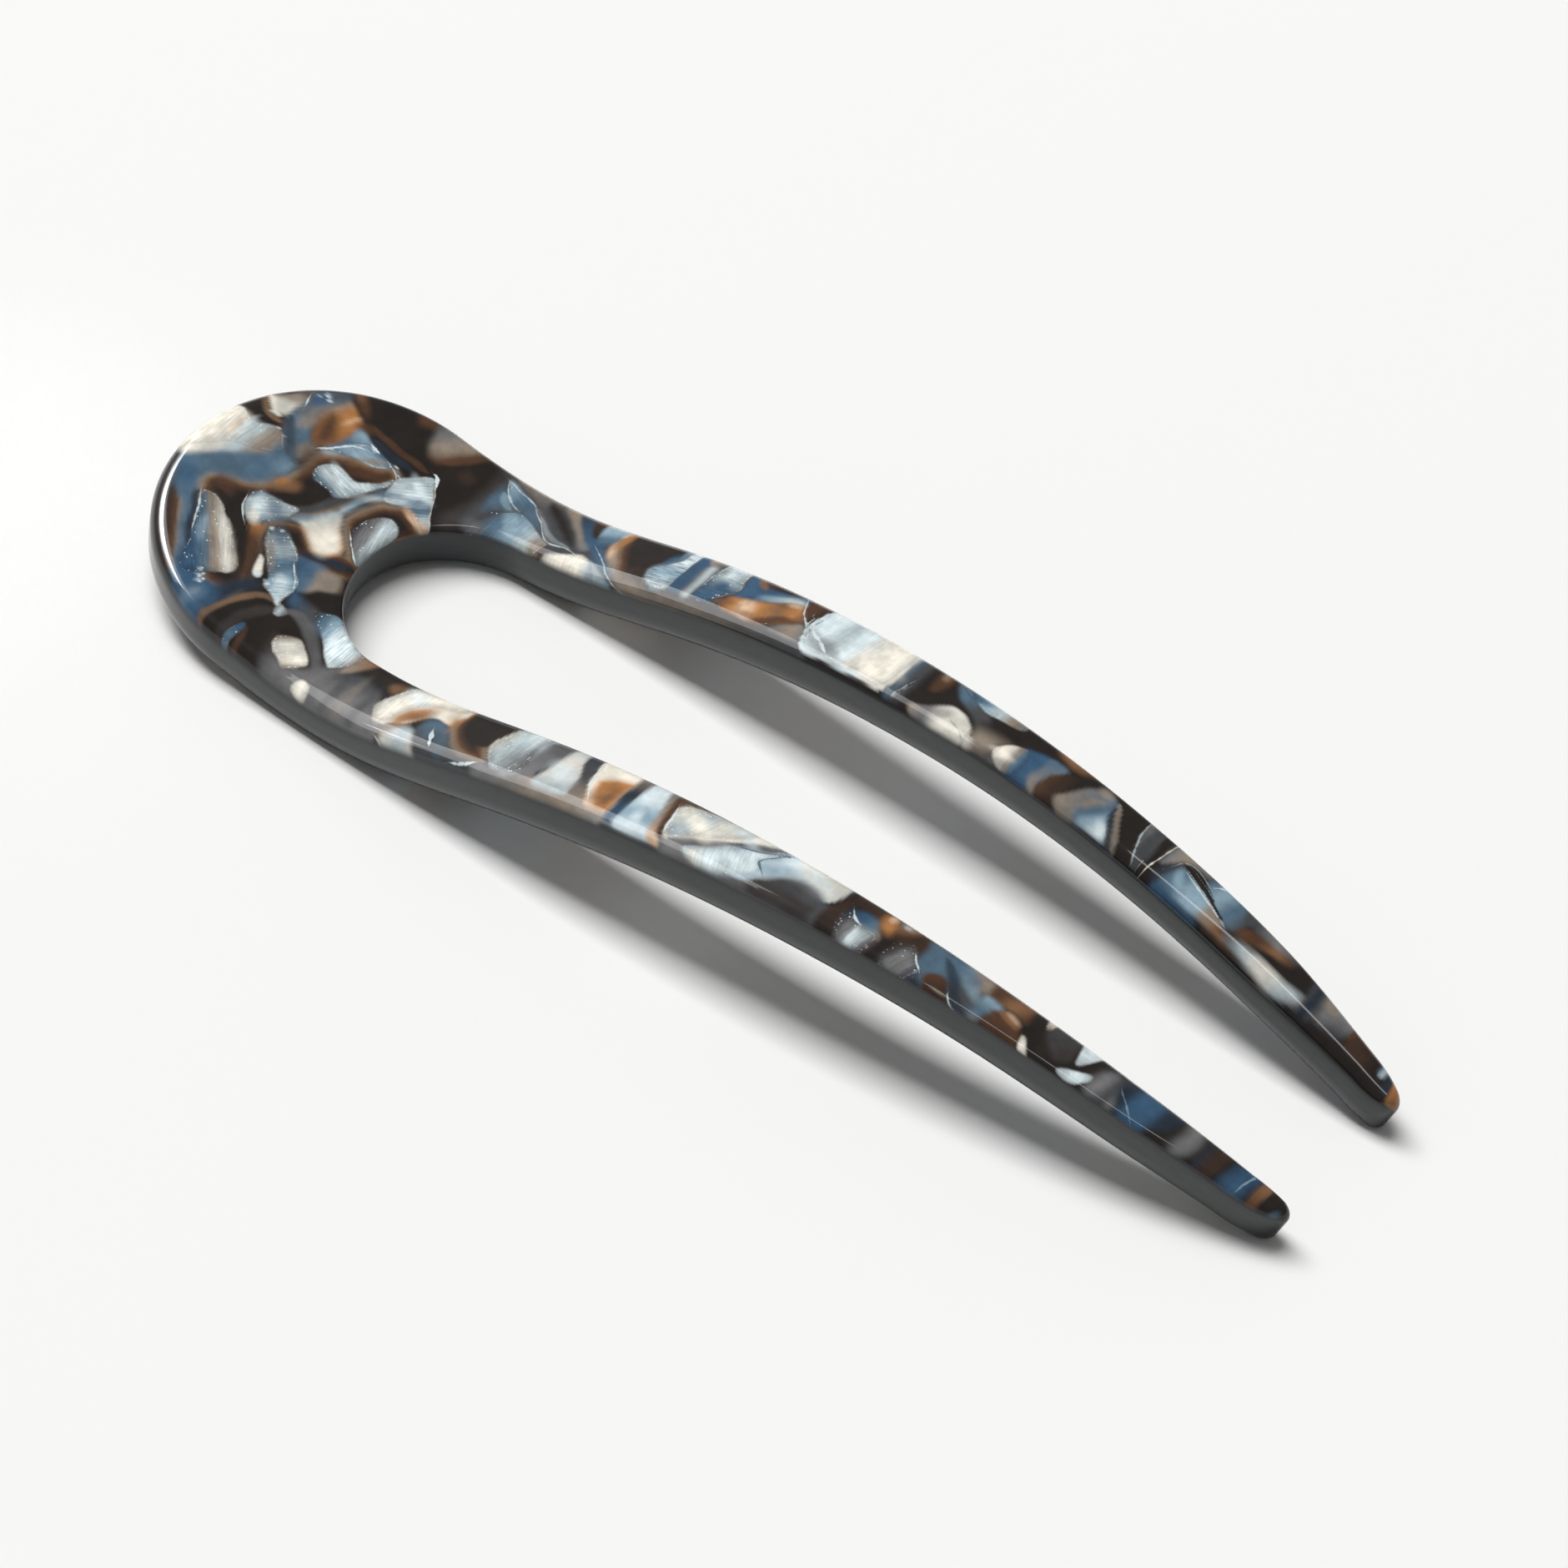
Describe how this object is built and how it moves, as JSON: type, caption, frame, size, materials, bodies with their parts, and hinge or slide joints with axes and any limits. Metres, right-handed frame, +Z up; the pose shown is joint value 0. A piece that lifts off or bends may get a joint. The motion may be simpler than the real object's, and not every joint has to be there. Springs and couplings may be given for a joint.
{
  "type": "french hair pin",
  "caption": "Flat U-shaped hair pin with a round head, a gentle S bow in side view and two tapering prongs with rounded tips, in marbled glossy acetate.",
  "frame": {"origin": "centre of the bounding box in X and Y, on the surface that the pin lies on", "axes": "+X from the head towards the tips, +Y across the pin, +Z up from the surface"},
  "size_m": [0.1138, 0.0296, 0.0124],
  "materials": {
    "acetate": "polished cellulose acetate sheet, marbled in black, caramel brown, cream and silver blue"
  },
  "bodies": {
    "root": {"pin": "acetate"}
  },
  "joints": []
}
